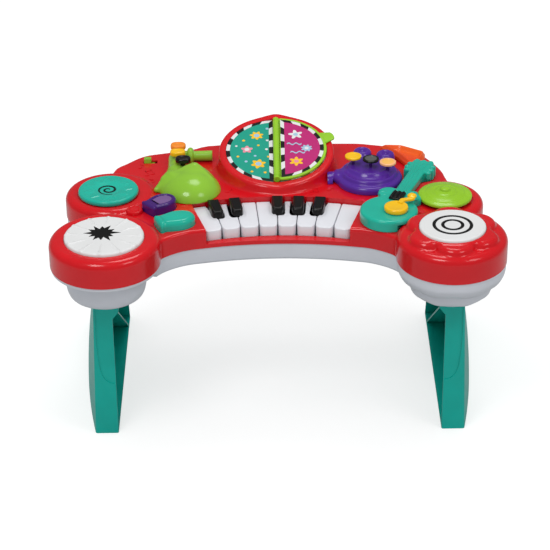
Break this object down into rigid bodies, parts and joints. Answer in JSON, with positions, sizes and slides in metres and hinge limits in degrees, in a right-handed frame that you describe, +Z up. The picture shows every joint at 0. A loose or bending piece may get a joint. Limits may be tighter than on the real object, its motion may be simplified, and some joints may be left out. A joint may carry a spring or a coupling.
{
  "type": "musical activity table",
  "caption": "Low two-legged toddler music table with a piano key fan, drum pads, a cymbal, a saxophone, a horn, a guitar, maraca buttons, a spinner and a round page book.",
  "frame": {"origin": "on the floor, under the middle of the table's outer box", "axes": "+X to the child's right along the width, +Y away from the child, +Z up"},
  "size_m": [0.528, 0.3253, 0.2939],
  "materials": {
    "red_plastic": "glossy moulded plastic",
    "grey_plastic": "satin moulded plastic",
    "leg_plastic": "satin moulded plastic",
    "teal_plastic": "glossy moulded plastic",
    "lime_plastic": "glossy moulded plastic",
    "purple_plastic": "glossy moulded plastic",
    "yellow_plastic": "glossy moulded plastic",
    "orange_plastic": "glossy moulded plastic",
    "peach_plastic": "glossy moulded plastic",
    "black_plastic": "glossy moulded plastic",
    "white_plastic": "semi-gloss moulded plastic",
    "printed_card": "printed and laminated card",
    "magenta_card": "printed and laminated card",
    "circuit_board": "solder mask",
    "rubber": "moulded rubber",
    "steel": "plated steel",
    "battery_sleeve": "printed sleeve"
  },
  "bodies": {
    "table": {"battery_1": "battery_sleeve", "battery_2": "battery_sleeve", "battery_3": "battery_sleeve", "battery_door": "grey_plastic", "battery_door_screw": "steel", "book_left_card": "printed_card", "book_right_card": "printed_card", "book_spine": "lime_plastic", "bottom_casing": "grey_plastic", "case_screw_1": "steel", "case_screw_2": "steel", "case_screw_3": "steel", "case_screw_4": "steel", "case_screw_5": "steel", "case_screw_6": "steel", "guitar_body": "teal_plastic", "guitar_bridge": "black_plastic", "horn_bell": "orange_plastic", "horn_body": "purple_plastic", "key_contact_board": "circuit_board", "key_hinge_rail": "grey_plastic", "key_rubber_strip": "rubber", "left_leg": "leg_plastic", "main_board": "circuit_board", "right_leg": "leg_plastic", "sax_body": "lime_plastic", "speaker": "rubber", "top_casing": "red_plastic"},
    "white_key_1": {"white_key_1": "white_plastic"},
    "white_key_2": {"white_key_2": "white_plastic"},
    "white_key_3": {"white_key_3": "white_plastic"},
    "white_key_4": {"white_key_4": "white_plastic"},
    "white_key_5": {"white_key_5": "white_plastic"},
    "white_key_6": {"white_key_6": "white_plastic"},
    "white_key_7": {"white_key_7": "white_plastic"},
    "white_key_8": {"white_key_8": "white_plastic"},
    "black_key_1": {"black_key_1": "black_plastic"},
    "black_key_2": {"black_key_2": "black_plastic"},
    "black_key_3": {"black_key_3": "black_plastic"},
    "black_key_4": {"black_key_4": "black_plastic"},
    "black_key_5": {"black_key_5": "black_plastic"},
    "left_drum_pad": {"left_drum_pad": "white_plastic"},
    "right_drum_pad": {"right_drum_pad": "white_plastic"},
    "cymbal": {"cymbal": "lime_plastic"},
    "purple_maraca_button": {"purple_maraca_button": "purple_plastic"},
    "teal_maraca_button": {"teal_maraca_button": "teal_plastic"},
    "sax_orange_key": {"sax_orange_key": "orange_plastic"},
    "sax_yellow_key": {"sax_yellow_key": "yellow_plastic"},
    "sax_black_key": {"sax_black_key": "black_plastic"},
    "horn_yellow_key": {"horn_yellow_key": "yellow_plastic"},
    "horn_black_key": {"horn_black_key": "black_plastic"},
    "horn_peach_key": {"horn_peach_key": "peach_plastic"},
    "spinner": {"spinner_disc": "teal_plastic", "spinner_retainer": "steel"},
    "guitar_strummer": {"guitar_strummer": "yellow_plastic"},
    "book_page": {"flip_page": "lime_plastic", "flip_page_card": "magenta_card"},
    "mode_slider": {"mode_slider": "lime_plastic"}
  },
  "joints": [
    {"name": "white_key_1_press", "type": "hinge", "parent": "table", "child": "white_key_1", "pos_m": [-0.09096, 0.00633, 0.24], "axis": [0.9703, 0.2419, 0], "range_deg": [0, 2.58], "stiffness_Nm_per_rad": 0.9, "springref_deg": -1.15},
    {"name": "white_key_2_press", "type": "hinge", "parent": "table", "child": "white_key_2", "pos_m": [-0.06529, 0.01179, 0.24], "axis": [0.9848, 0.1736, 0], "range_deg": [0, 2.58], "stiffness_Nm_per_rad": 0.9, "springref_deg": -1.15},
    {"name": "white_key_3_press", "type": "hinge", "parent": "table", "child": "white_key_3", "pos_m": [-0.0393, 0.01544, 0.24], "axis": [0.9945, 0.1045, 0], "range_deg": [0, 2.58], "stiffness_Nm_per_rad": 0.9, "springref_deg": -1.15},
    {"name": "white_key_4_press", "type": "hinge", "parent": "table", "child": "white_key_4", "pos_m": [-0.01312, 0.01727, 0.24], "axis": [0.9994, 0.0349, 0], "range_deg": [0, 2.58], "stiffness_Nm_per_rad": 0.9, "springref_deg": -1.15},
    {"name": "white_key_5_press", "type": "hinge", "parent": "table", "child": "white_key_5", "pos_m": [0.01312, 0.01727, 0.24], "axis": [0.9994, -0.0349, 0], "range_deg": [0, 2.58], "stiffness_Nm_per_rad": 0.9, "springref_deg": -1.15},
    {"name": "white_key_6_press", "type": "hinge", "parent": "table", "child": "white_key_6", "pos_m": [0.0393, 0.01544, 0.24], "axis": [0.9945, -0.1045, 0], "range_deg": [0, 2.58], "stiffness_Nm_per_rad": 0.9, "springref_deg": -1.15},
    {"name": "white_key_7_press", "type": "hinge", "parent": "table", "child": "white_key_7", "pos_m": [0.06529, 0.01179, 0.24], "axis": [0.9848, -0.1736, 0], "range_deg": [0, 2.58], "stiffness_Nm_per_rad": 0.9, "springref_deg": -1.15},
    {"name": "white_key_8_press", "type": "hinge", "parent": "table", "child": "white_key_8", "pos_m": [0.09096, 0.00633, 0.24], "axis": [0.9703, -0.2419, 0], "range_deg": [0, 2.58], "stiffness_Nm_per_rad": 0.9, "springref_deg": -1.15},
    {"name": "black_key_1_press", "type": "hinge", "parent": "table", "child": "black_key_1", "pos_m": [-0.07817, 0.00928, 0.24], "axis": [0.9781, 0.2079, 0], "range_deg": [0, 2.58], "stiffness_Nm_per_rad": 0.9, "springref_deg": -1.15},
    {"name": "black_key_2_press", "type": "hinge", "parent": "table", "child": "black_key_2", "pos_m": [-0.05233, 0.01384, 0.24], "axis": [0.9903, 0.1392, 0], "range_deg": [0, 2.58], "stiffness_Nm_per_rad": 0.9, "springref_deg": -1.15},
    {"name": "black_key_3_press", "type": "hinge", "parent": "table", "child": "black_key_3", "pos_m": [0, 0.0175, 0.24], "axis": [1, 0, 0], "range_deg": [0, 2.58], "stiffness_Nm_per_rad": 0.9, "springref_deg": -1.15},
    {"name": "black_key_4_press", "type": "hinge", "parent": "table", "child": "black_key_4", "pos_m": [0.02623, 0.01658, 0.24], "axis": [0.9976, -0.0698, 0], "range_deg": [0, 2.58], "stiffness_Nm_per_rad": 0.9, "springref_deg": -1.15},
    {"name": "black_key_5_press", "type": "hinge", "parent": "table", "child": "black_key_5", "pos_m": [0.05233, 0.01384, 0.24], "axis": [0.9903, -0.1392, 0], "range_deg": [0, 2.58], "stiffness_Nm_per_rad": 0.9, "springref_deg": -1.15},
    {"name": "left_drum_pad_press", "type": "slide", "parent": "table", "child": "left_drum_pad", "axis": [0, 0, -1], "range_m": [0, 0.0025], "stiffness_N_per_m": 400, "springref_m": -0.002},
    {"name": "right_drum_pad_press", "type": "slide", "parent": "table", "child": "right_drum_pad", "axis": [0, 0, -1], "range_m": [0, 0.0025], "stiffness_N_per_m": 400, "springref_m": -0.002},
    {"name": "cymbal_press", "type": "slide", "parent": "table", "child": "cymbal", "axis": [0, 0, -1], "range_m": [0, 0.0025], "stiffness_N_per_m": 400, "springref_m": -0.002},
    {"name": "purple_maraca_button_press", "type": "slide", "parent": "table", "child": "purple_maraca_button", "axis": [0, 0, -1], "range_m": [0, 0.0025], "stiffness_N_per_m": 400, "springref_m": -0.002},
    {"name": "teal_maraca_button_press", "type": "slide", "parent": "table", "child": "teal_maraca_button", "axis": [0, 0, -1], "range_m": [0, 0.0025], "stiffness_N_per_m": 400, "springref_m": -0.002},
    {"name": "sax_orange_key_press", "type": "slide", "parent": "table", "child": "sax_orange_key", "axis": [0, 0, -1], "range_m": [0, 0.002], "stiffness_N_per_m": 200, "springref_m": -0.001},
    {"name": "sax_yellow_key_press", "type": "slide", "parent": "table", "child": "sax_yellow_key", "axis": [0, 0, -1], "range_m": [0, 0.002], "stiffness_N_per_m": 200, "springref_m": -0.001},
    {"name": "sax_black_key_press", "type": "slide", "parent": "table", "child": "sax_black_key", "axis": [0, 0, -1], "range_m": [0, 0.002], "stiffness_N_per_m": 200, "springref_m": -0.001},
    {"name": "horn_yellow_key_press", "type": "slide", "parent": "table", "child": "horn_yellow_key", "axis": [0, 0, -1], "range_m": [0, 0.003], "stiffness_N_per_m": 200, "springref_m": -0.001},
    {"name": "horn_black_key_press", "type": "slide", "parent": "table", "child": "horn_black_key", "axis": [0, 0, -1], "range_m": [0, 0.003], "stiffness_N_per_m": 200, "springref_m": -0.001},
    {"name": "horn_peach_key_press", "type": "slide", "parent": "table", "child": "horn_peach_key", "axis": [0, 0, -1], "range_m": [0, 0.003], "stiffness_N_per_m": 200, "springref_m": -0.001},
    {"name": "spinner_turn", "type": "hinge", "parent": "table", "child": "spinner", "pos_m": [-0.202, 0.019, 0.2583], "axis": [0, 0, 1], "continuous": true},
    {"name": "guitar_strummer_swing", "type": "hinge", "parent": "table", "child": "guitar_strummer", "pos_m": [0.138, -0.053, 0.2686], "axis": [0, 0, 1], "range_deg": [-20, 20], "stiffness_Nm_per_rad": 0.02},
    {"name": "book_page_flip", "type": "hinge", "parent": "table", "child": "book_page", "pos_m": [0, 0.09066, 0.27877], "axis": [0, -0.9816, -0.1908], "range_deg": [0, 176]},
    {"name": "mode_slider_slide", "type": "slide", "parent": "table", "child": "mode_slider", "axis": [1, 0, 0], "range_m": [0, 0.007]}
  ]
}
